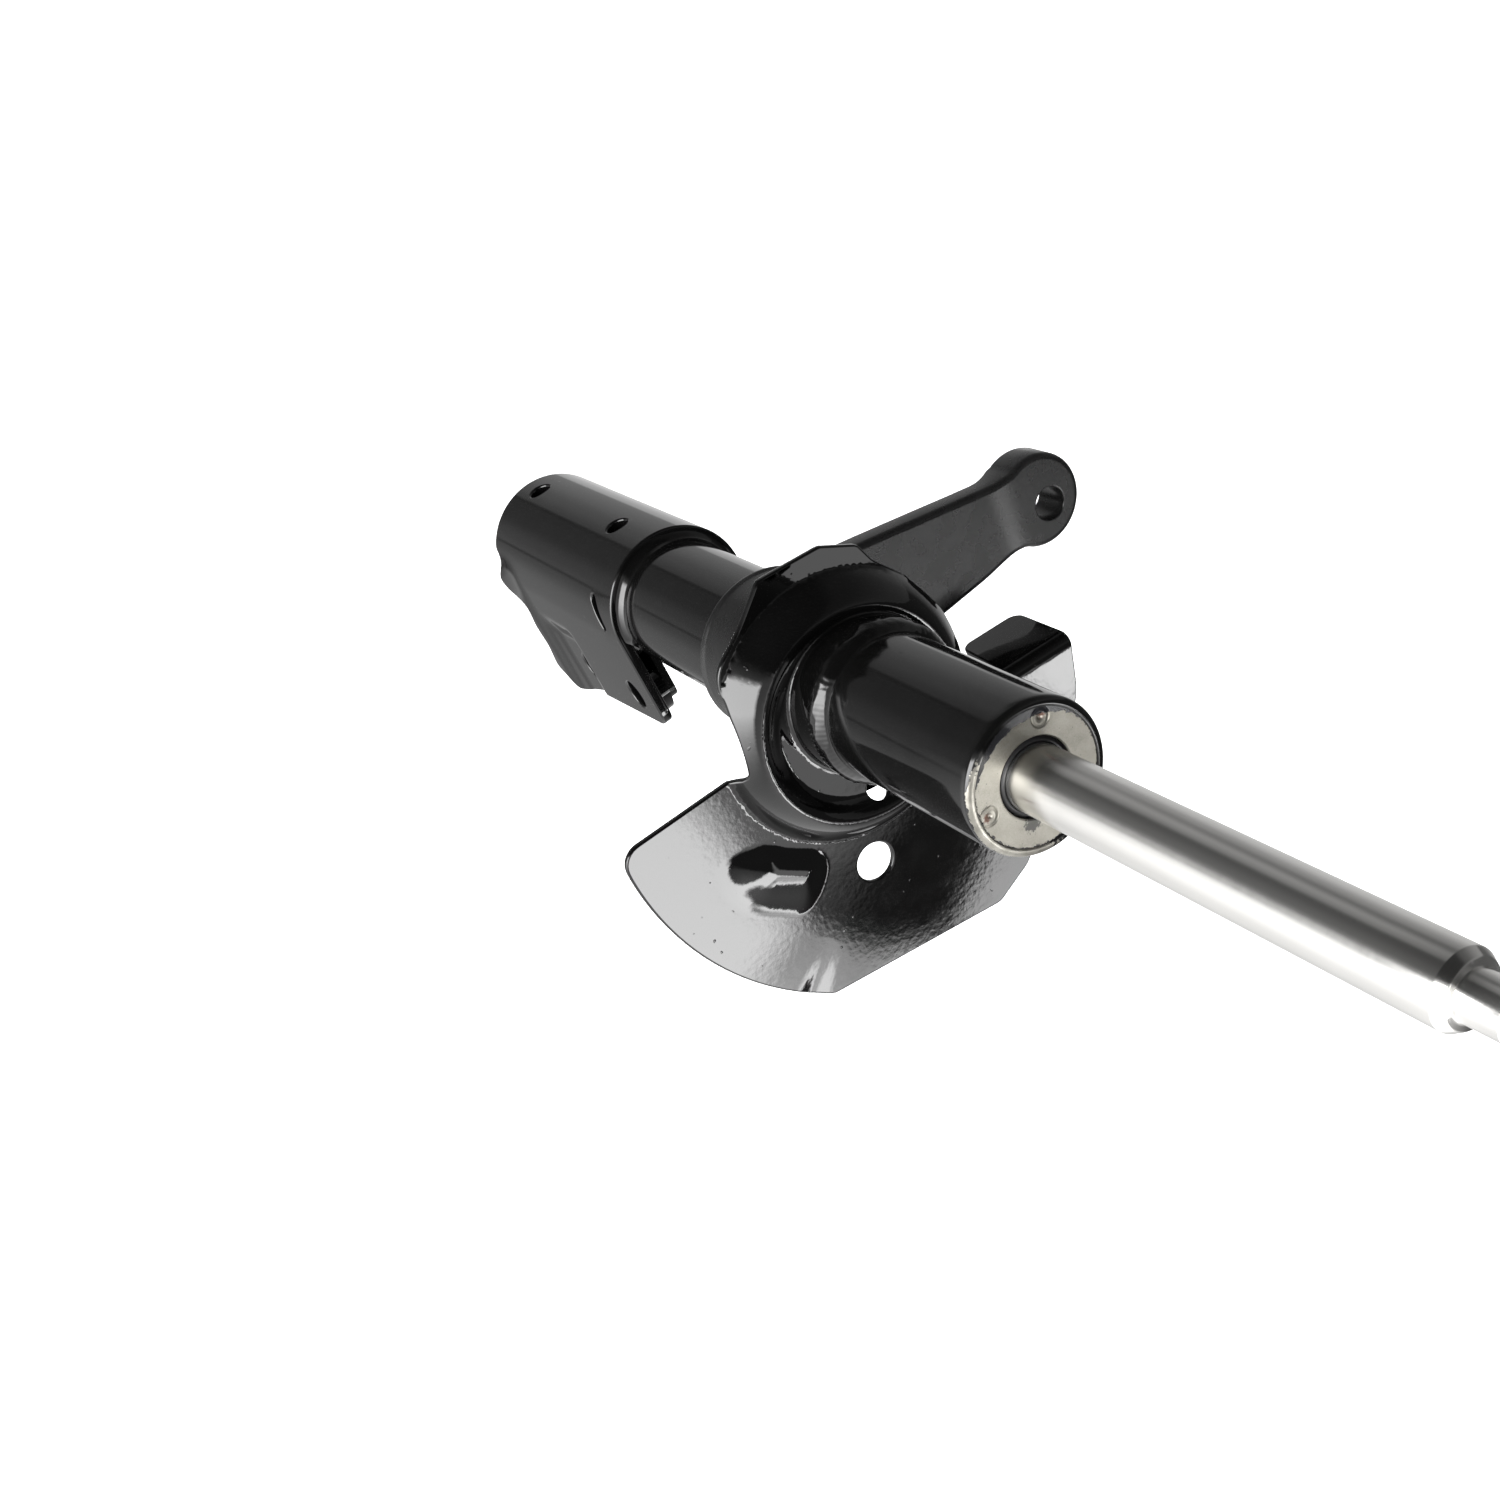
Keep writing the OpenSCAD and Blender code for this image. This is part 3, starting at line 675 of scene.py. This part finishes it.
def seat_skin(a, b):
    """Outer skin of the seat, from its flat plan. Near the axis the sheet turns up into the neck, and
    past the bend line it turns down into the flange."""
    q = np.hypot(a, b) + 1e-9
    start = NECK_R + FILLET
    t = (start - q) / FILLET
    arc = np.clip(t, 0, math.pi / 2)
    r = np.where(t > 0, start - FILLET * np.sin(arc), q)
    x, y = a / q * r, b / q * r
    past = (x - BEND_FROM[0]) * BEND_OUT[0] + (y - BEND_FROM[1]) * BEND_OUT[1] + BEND_R * 0.5
    near = (x - BEND_FROM[0]) * BEND_ALONG[0] + (y - BEND_FROM[1]) * BEND_ALONG[1]
    past = np.where((near > -30) & (near < 45) & (x < -30) & (y < 10), past, -1)
    turn = np.clip(past / BEND_R, 0, math.pi / 2)
    shift = np.where(past > 0, BEND_R * np.sin(turn) - past, 0)
    down = BEND_R * (1 - np.cos(turn)) + np.maximum(0, past - BEND_R * math.pi / 2)
    down = np.where(past > 0, down, 0)
    flat = smooth((q - 60) / 20) * (past <= 0)
    h = ridge_height(x, y) + stop_height(x, y) + flat * 0.08 * wave(x, y, 0, 26, 5)
    rise = FILLET * (1 - np.cos(arc))
    top = h + rise
    wall = np.maximum(0, (t - math.pi / 2) * FILLET)
    full = NECK_TOP + 0.5 - SHIELD_Z
    top = top + np.clip(wall / NECK_RISE, 0, 1) * (full - top)
    return np.stack([x + BEND_OUT[0] * shift, y + BEND_OUT[1] * shift, SHIELD_Z + top - down], 1)


def seat_outline():
    """The pressing's rim in its flat plan, with the shield's long arc and the flange unfolded."""
    reach = (FLANGE - BEND_R + BEND_R * math.pi / 2 - BEND_R * 0.5) * BEND_OUT
    far, near = BEND_FROM - BEND_ALONG * 0.5 + reach, BEND_TO - BEND_ALONG * 1.0 + reach
    corners = [(52.4, -17, 3), (50.4, 0, 80), (50.6, 16.5, 12), (41.0, 28.0, 14), (24.6, 44.2, 3.5)]
    angles = np.radians(np.r_[52.9, np.linspace(58, 103, 20), 108.6])
    arc = [(ARC_CENTRE[0] + ARC_R * math.cos(a), ARC_CENTRE[1] + ARC_R * math.sin(a), 0) for a in angles]
    arc[0] = (*arc[0][:2], 7.5)
    arc[-1] = (*arc[-1][:2], 6)
    tail = [(-108, 48, 6), (-111.5, 30, 10), (-96, -34, 30), (BEND_FROM[0] - 1.5, BEND_FROM[1] + 1.0, 3),
            (*far, 5), (*near, 5), (BEND_TO[0] + 1, BEND_TO[1] + 1, 3), (-47, -12, 8), (-41, -24, 12),
            (-20, -38.5, 16), (0, -42.6, 24), (15, -41.6, 8), (23.5, -43.5, 2.5), (36.8, -36.8, 3)]
    return rounded(corners + arc + tail)


def spring_seat():
    """The pressed seat and shield, on a grid that is finer over the ridge, the neck and the stop."""
    step, ring_gap = 1.5, 0.9
    rings = []
    for centre, r_from, r_to, gap in ((RING, 30, 54, 1.4), ((0, 0), 18.5, 34, 1.2), (STOP, 0.5, 26, 0.9)):
        rings += [circle(*centre, r, gap) for r in np.arange(r_from, r_to, ring_gap)]
    finer = np.concatenate(rings)
    neck = circle(0, 0, NECK_R + FILLET - FILLET * math.pi / 2 - NECK_RISE, 0.8)
    holes = [neck, circle(*SHIELD_HOLE, 1.0), circle(*DRAIN_HOLE, 0.7)]
    finer = finer[np.hypot(finer[:, 0], finer[:, 1]) > 17.3]
    mesh = plate(seat_outline(), holes, seat_skin, SHEET, 0.7, step, 3, finer)
    make("spring_seat_pressing", turned(mesh, SEAT_TURN), "strut", GLOSS, ["spring_seat"], 60)


def bead(name, node, profile, lump, seed):
    """A weld bead: a lathed ring whose section swells and ripples along the seam."""

    def ripple(a, r, z):
        x, y = np.cos(a) * TUBE_R, np.sin(a) * TUBE_R
        push = lump * (0.9 * wave(x, y, z * 1.5, 5.0, seed) + 0.5 * wave(x, y, z * 2, 1.8, seed + 1)
                       + 0.25 * wave(x, y, z * 2, 0.8, seed + 2))
        inner = r < TUBE_R + 0.01
        return np.where(inner, r, r + push), np.where(inner, z, z + 0.6 * push * wave(z, r, 0, 2, seed))

    make(name, lathe(profile, 720, wobble=ripple), "strut", WELD, [node], 60)


def half_round(r0, z0, r1, z1, fat, n=9):
    """Profile of a bead from one corner to another, bulging by fat, closed along the tube."""
    p, q = np.array([r0, z0]), np.array([r1, z1])
    side = np.array([-(q - p)[1], (q - p)[0]]) / np.linalg.norm(q - p)
    if side[0] < 0:
        side = -side
    out = []
    for t in np.linspace(0, 1, n):
        out.append(tuple(p + (q - p) * t + side * fat * math.sin(math.pi * t)))
    return out


def welds():
    """The beads over the seat's neck and under the arm's hub."""
    root, skin = TUBE_R - 0.3, TUBE_R + 0.1
    high, low = NECK_TOP + 5.4, NECK_TOP - 1.4
    seat = [(root, high), *half_round(skin, high, NECK_R + 0.8, low, 1.1), (root, low)]
    bead("spring_seat_weld_bead", "spring_seat_weld", seat[::-1], 0.55, 11)
    low = HUB_BASE - 4
    arm = [(root, HUB_BASE + 0.5), *half_round(NECK_R + 0.6, HUB_BASE + 0.2, skin, low, 0.5), (root, low)]
    bead("steering_arm_weld_bead", "steering_arm_weld", arm[::-1], 0.3, 21)


# ---- Bell and steering arm ----

def seat_support():
    """The bell that flares from the arm's hub to the underside of the seat."""
    base, top, wall, flare = HUB_TOP - 1.0, SHIELD_Z - SHEET + 0.4, 2.6, 11.6
    t = np.linspace(0, 1, 26)
    outer = list(zip(WRAP_R - 0.2 + flare * t ** 1.7, base + (top - base) * t))
    inner = [(r - wall, z) for r, z in outer[::-1]]
    inner[-1] = (TUBE_R, base)
    make("seat_support_bell", lathe(outer + inner, 200), "strut", TUBE_PAINT, ["seat_support"])


def steering_arm():
    """A forging: shank and eye with soft edges, and a hub round the tube. The eye is thicker."""
    eye_r, eye_h, shank_h, hole_r = 18.2, 17.0, 11.4, 6.5
    eye_at = (115.5, 3.0)
    face, edge = 225.2, 2.4
    shank = [(24, -23, 0), (42, -20.4, 40), (84, -14.6, 60), (100.5, -11.0, 16)]
    upper = [(98, 18.4, 24), (84, 20.2, 60), (42, 26.0, 40), (24, 28.2, 0)]
    arc = [(eye_at[0] + eye_r * math.cos(a), eye_at[1] + eye_r * math.sin(a), 0)
           for a in np.linspace(math.radians(-126), math.radians(118), 40)]
    outline = rounded(shank + arc + upper, 8)

    def swell(a):
        return smooth((a - 94) / 12)

    def skin(a, b):
        lift = swell(a) * (eye_h - shank_h) / 2
        return np.stack([a, b, face + lift * 0.35 + 0.04 * wave(a, b, 0, 12, 31)], 1)

    def thick(a, b):
        return shank_h + swell(a) * (eye_h - shank_h) * 0.85

    hole = circle(ARM_REACH, 0, hole_r, 0.8)
    arm = turned(plate(outline, [hole], skin, thick, edge, 1.5, 5, hole_edge=0.5), ARM_TURN)
    hub_r = WRAP_R + 0.2
    hub = [(TUBE_R, HUB_BASE), (hub_r - 1.2, HUB_BASE), (hub_r - 0.35, HUB_BASE + 0.35),
           (hub_r, HUB_BASE + 1.2), (hub_r, HUB_BASE + 2.2), (hub_r - 0.5, HUB_BASE + 3.0),
           *[(hub_r - 0.6, z) for z in np.linspace(HUB_BASE + 4, HUB_TOP - 0.4, 8)], (TUBE_R, HUB_TOP)]
    hub_mesh = lathe(hub, 200)
    make("steering_arm_forging", join(arm, hub_mesh), "strut", FORGED, ["steering_arm"], 45)


# ---- Knuckle bracket ----

# The sheet, and the bolt holes as (distance past the wrap, height)
EAR_T = 4.8
UPPER, LOWER = (33.0, 109.0), (36.5, 54.0)


def bracket_path(u):
    """Point of the bracket's outer skin at length u from the back of the wrap."""
    side = np.sign(u) + (u == 0)
    d = np.abs(u)
    turn = np.clip(d, 0, QUARTER) / WRAP_R
    x = side * WRAP_R * np.sin(turn)
    y = -WRAP_R * np.cos(turn) + np.maximum(0, d - QUARTER)
    return x, y


def bracket_skin(u, v):
    """The outer skin, with the lower edge curled out and a dent low on each ear."""
    x, y = bracket_path(u)
    s = np.abs(u) - QUARTER
    lip = np.clip((26 - v) / 14, 0, 1.2)
    curl = (1.7 + 1.3 * smooth((12 - s) / 12)) * lip ** 2 * smooth((s + 13) / 10)
    dent = -1.9 * smooth((62 - v) / 9) * smooth((s - 12) / 12) * smooth((v - 22) / 16)
    return np.stack([x + np.sign(x) * (curl + dent), y, v], 1)


def bracket_outline():
    """The bracket unrolled: the wrap in the middle and an ear at each end, with a guessed lower edge."""
    ear = [(-14, BRACKET_BASE, 4), (-9, 8, 5), (3, 10.5, 10), (14, 14, 12), (24, 12, 10), (35, 13, 10),
           (47, 10.5, 8), (60, 18, 6), (57.5, 32, 9), (50.5, 56, 20), (44, BRACKET_TOP, 6)]
    right = [(QUARTER + s, z, r) for s, z, r in ear]
    left = [(-x, z, r) for x, z, r in right[::-1]]
    return rounded(right + left, 8)


def knuckle_bracket():
    """The pressing that wraps the tube, with its bolt holes, a slot on each side and two holes behind."""
    bolt_r, slot_wide, slot_narrow, back_r = 6.5, 2.2, 1.8, 4.8
    low, high = np.array([QUARTER - 17, 109.5]), np.array([QUARTER - 3, 117])
    along = unit(high - low)
    across = np.array([-along[1], along[0]])
    slot = [(*(low + across * slot_wide), 2.0), (*(low - across * slot_wide), 2.0),
            (*(high - across * slot_narrow), 1.6), (*(high + across * slot_narrow), 1.6)]
    loop = resample(rounded(slot, 5), 0.8, 60)
    holes = []
    for side in (-1, 1):
        holes += [circle(side * (QUARTER + s), z, bolt_r, 0.9) for s, z in (UPPER, LOWER)]
        holes.append((loop * (side, 1))[::side])
    holes += [circle(0, z, back_r, 0.8) for z in (16.0, 99.5)]
    mesh = plate(bracket_outline(), holes, bracket_skin, EAR_T, 0.9, 1.6, 3)
    make("knuckle_bracket_pressing", mesh, "strut", TUBE_PAINT, ["knuckle_bracket"], 60)


def bracket_weld():
    """The fillet along the wrap's upper edge, which stops at the ears."""
    top, base, root = BRACKET_TOP, BRACKET_TOP - 1.2, TUBE_R - 0.4
    profile = [(TUBE_R + 4.7, top - 0.5), (TUBE_R + 3.6, top - 0.2), (TUBE_R + 2.4, top + 0.2),
               (TUBE_R + 1.3, top + 1.0), (TUBE_R + 0.5, top + 2.2), (TUBE_R + 0.1, top + 3.8)]
    ends = math.radians(18)
    n = 160
    angles = np.linspace(math.pi - ends, 2 * math.pi + ends, n)
    section = profile + [(root, top + 3.8), (root, base), (TUBE_R + 4.6, base)]
    points, faces, m = [], [], len(section)
    for i, a in enumerate(angles):
        fade = smooth(min(i, n - 1 - i) / 12 + 0.02)
        for r, z in section:
            rr = root + (r - root) * (0.25 + 0.75 * fade)
            zz = base + (z - base) * (0.2 + 0.8 * fade)
            rr += 0.15 * fade * wave(30 * math.cos(a), 30 * math.sin(a), z, 4, 41) * (r > TUBE_R)
            points.append((rr * math.cos(a), rr * math.sin(a), zz))
    for i in range(n - 1):
        for j in range(m):
            k = (j + 1) % m
            faces.append((i * m + j, i * m + k, (i + 1) * m + k, (i + 1) * m + j))
    faces += [tuple(range(m))[::-1], tuple(range((n - 1) * m, n * m))]
    make("bracket_weld_fillet", (np.array(points), faces), "strut", WELD, ["bracket_weld"], 60)


# ---- Materials of the CAD nodes that stay ----

KEPT = {
    "base_cap": TUBE_PAINT, "bracket_reinforcement": TUBE_PAINT, "pressure_tube": BRIGHT,
    "base_valve_body": SINTERED, "base_valve_discs": BRIGHT, "base_valve_bolt": BRIGHT,
    "base_valve_spring": BRIGHT, "base_check_plate": BRIGHT, "rod_guide": SINTERED,
    "guide_bush": BRONZE, "guide_o_ring": RUBBER, "seal_spring": BRIGHT, "piston": SINTERED,
    "piston_band": BAND, "piston_check_plate": BRIGHT, "piston_check_spring": BRIGHT,
    "rebound_discs": BRIGHT, "piston_washer": BRIGHT, "piston_nut": BRIGHT, "rebound_stop": BRIGHT,
    "rebound_bumper": BUMPER,
}


def dress_kept_nodes():
    """Materials for the CAD nodes, and softer edges on the two that can be seen."""
    for name, material in KEPT.items():
        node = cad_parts[name]
        node.data.materials.clear()
        node.data.materials.append(material)
    for name, width in (("bracket_reinforcement", 1.0), ("base_cap", 0.4)):
        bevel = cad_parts[name].modifiers.new("soft_edges", "BEVEL")
        bevel.width, bevel.segments, bevel.limit_method = width * MM, 3, "ANGLE"
        bevel.angle_limit = math.radians(40)


# ---- Stage, light and camera ----

def stage():
    """A white paper floor. It glows, to stay white in the picture, and reflections don't show it."""
    size = 8.0
    corners = [(-size, -size, 0), (size, -size, 0), (size, size, 0), (-size, size, 0)]
    data = bpy.data.meshes.new("floor")
    data.from_pydata(corners, [], [(0, 1, 2, 3)])
    floor = bpy.data.objects.new("floor", data)
    bpy.context.scene.collection.objects.link(floor)
    n = Nodes("floor_paper")
    tone = n.mix(n.noise(400, 3), (0.86, 0.86, 0.86, 1), (0.90, 0.90, 0.90, 1))
    data.materials.append(n.give(Base_Color=tone, Roughness=0.9, Specular_IOR_Level=0.1,
                                 Emission_Color=tone, Emission_Strength=1.2))
    floor.visible_glossy = False


def lights():
    """Light from all round, which is not a plain studio's. Its bands, boxes and dark gaps were tuned
    so that the paint and the chrome reflect what they do in the photo, seen from the photo's angle. Angles
    are in degrees. a and b are where a direction meets a level plane overhead, in the spring seat's plan."""
    world = bpy.data.worlds.new("studio")
    bpy.context.scene.world = world
    n = Nodes(world)
    way = n.new("TexCoord").outputs["Generated"]
    x, y, z = n.new("SeparateXYZ", {"Vector": way}).outputs
    turn = n.times(n.math("ARCTAN2", y, x), 180 / math.pi)
    height = n.times(n.math("ARCSINE", z), 180 / math.pi)
    up = n.math("MAXIMUM", z, 0.05)

    def overhead(axis):
        """Where the direction meets the plane overhead, along an axis."""
        reach = n.new("VectorMath", {0: way, 1: axis}, operation="DOT_PRODUCT").outputs["Value"]
        return n.math("DIVIDE", reach, up)

    def band(value, low, high, soft):
        """One between low and high, with soft edges."""
        return n.times(n.ramp(value, low - soft, low + soft), n.ramp(value, high + soft, high - soft))

    def round_the_strut(stops):
        """Light against the angle round the strut."""
        ramp = n.new("ValToRGB", {"Fac": n.ramp(turn, -180, 180)})
        elements = ramp.color_ramp.elements
        ramp.color_ramp.interpolation = "EASE"
        for angle, power in stops:
            elements.new((angle + 180) / 360).color = grey(power)
        for old in (elements[-1], elements[0]):
            if old.position in (0.0, 1.0) and len(elements) > len(stops):
                elements.remove(old)
        return ramp.outputs["Color"]

    low = n.mix(n.ramp(height, -52, -46), round_the_strut(TABLE_LIGHT), round_the_strut(WALL_LIGHT))
    low = n.mix(n.ramp(height, -28, -8), low, round_the_strut(FAR_LIGHT))
    a = overhead((math.cos(SEAT_TURN), math.sin(SEAT_TURN), 0))
    b = overhead((-math.sin(SEAT_TURN), math.cos(SEAT_TURN), 0))
    gap_a = n.math("DIVIDE", n.math("SUBTRACT", a, GAP[0]), GAP_SIZE[0])
    gap_b = n.math("DIVIDE", n.math("SUBTRACT", b, GAP[1]), GAP_SIZE[1])
    gap = n.math("SQRT", n.math("ADD", n.times(gap_a, gap_a), n.times(gap_b, gap_b)))
    lifted = n.math("SUBTRACT", b, n.ramp(a, -0.64, -0.71, 0.0, 0.035))
    box = n.times(band(a, -0.90, -0.50, 0.012), band(lifted, 0.107, 0.42, 0.024), n.ramp(gap, 0.85, 1.15))
    dim = n.times(band(a, -0.86, -0.755, 0.02), n.ramp(n.noise(70, 3, 0.5, way), 0.35, 0.65, 0.25, 0.75))
    box = n.times(box, n.math("SUBTRACT", 1.0, dim))
    end = n.times(band(a, -0.90, -0.815, 0.012), band(b, -0.14, -0.045, 0.012))
    edge = n.times(band(a, -0.97, -0.885, 0.01), band(b, 0.03, 0.16, 0.02), 0.5)
    glow = n.times(band(a, -0.775, -0.58, 0.03), band(b, -0.13, 0.14, 0.03), GLOW)
    top = box
    for part in (glow, end, edge):
        top = n.math("MAXIMUM", top, part)
    fade = n.times(n.ramp(turn, -47, -41), n.ramp(turn, 34, -20))
    side = n.times(fade, fade, band(height, -14, 44, 4), SIDE_BOX)
    total = n.math("ADD", low, n.math("MAXIMUM", n.times(top, TOP_BOX), side))
    back = n.tree.nodes["Background"]
    n.tree.links.new(total, back.inputs["Color"])
    back.inputs["Strength"].default_value = 1.0


# Light against the angle round the strut, for directions far below, below, and near or over the horizon
TABLE_LIGHT = [(-180, 0.47), (-150, 0.5), (-120, 0.4), (-99, 0.3), (-94, 0.1), (-88, 0.14), (-60, 0.16),
               (-30, 0.30), (-16, 0.36), (-12, 0.16), (-8, 0.34), (20, 0.48), (60, 0.36), (110, 0.8),
               (165, 0.9)]
WALL_LIGHT = [(-180, 0.50), (-150, 0.28), (-135, 0.13), (-118, 0.30), (-104, 0.22), (-95, 0.07), (-60, 0.13),
              (-30, 0.26), (-19, 1.1), (0, 1.5), (60, 1.0), (90, 0.75), (118, 0.95), (165, 0.6)]
FAR_LIGHT = [(-180, 0.3), (-135, 0.1), (-120, 0.03), (-58, 0.03), (-42, 0.8), (20, 1.3), (75, 2.2), (98, 0.7),
             (112, 0.08), (150, 0.1)]
TOP_BOX, SIDE_BOX = 14.0, 11.0
GLOW = 0.14
GAP, GAP_SIZE = (-0.805, 0.085), (0.088, 0.066)


def camera():
    """The photographer's view: back from the closing cap at an angle to the axis, then rolled over. Its
    distance, angles and lens come from fitting the view to the tube, the rod and the cap."""
    distance, off_axis, around = 0.56145, math.radians(41.695), SEAT_TURN
    roll, yaw, pitch = math.radians(116.737), math.radians(8.796), math.radians(0.875)
    across = Vector((math.cos(around), math.sin(around), 0))
    back = across * math.sin(off_axis) + Vector((0, 0, math.cos(off_axis)))
    up = -across * math.cos(off_axis) + Vector((0, 0, math.sin(off_axis)))
    right = up.cross(back)
    basis = Matrix((right, up, back)).transposed()
    turn = basis @ Matrix.Rotation(roll, 3, "Z")
    turn = turn @ Matrix.Rotation(yaw, 3, "Y") @ Matrix.Rotation(pitch, 3, "X")
    data = bpy.data.cameras.new("camera")
    data.lens = 44.68
    data.sensor_width = 36
    data.clip_start, data.clip_end = 0.01, 50
    eye = bpy.data.objects.new("camera", data)
    bpy.context.scene.collection.objects.link(eye)
    eye.matrix_world = Matrix.Translation(Vector((0, 0, TUBE_TOP * MM)) + back * distance) @ turn.to_4x4()
    bpy.context.scene.camera = eye


camera()
reserve_tube()
closing_cap()
rod_seal()
piston_rod()
spring_seat()
welds()
seat_support()
steering_arm()
knuckle_bracket()
bracket_weld()
dress_kept_nodes()
stage()
lights()
bpy.context.scene.view_settings.view_transform = "Standard"
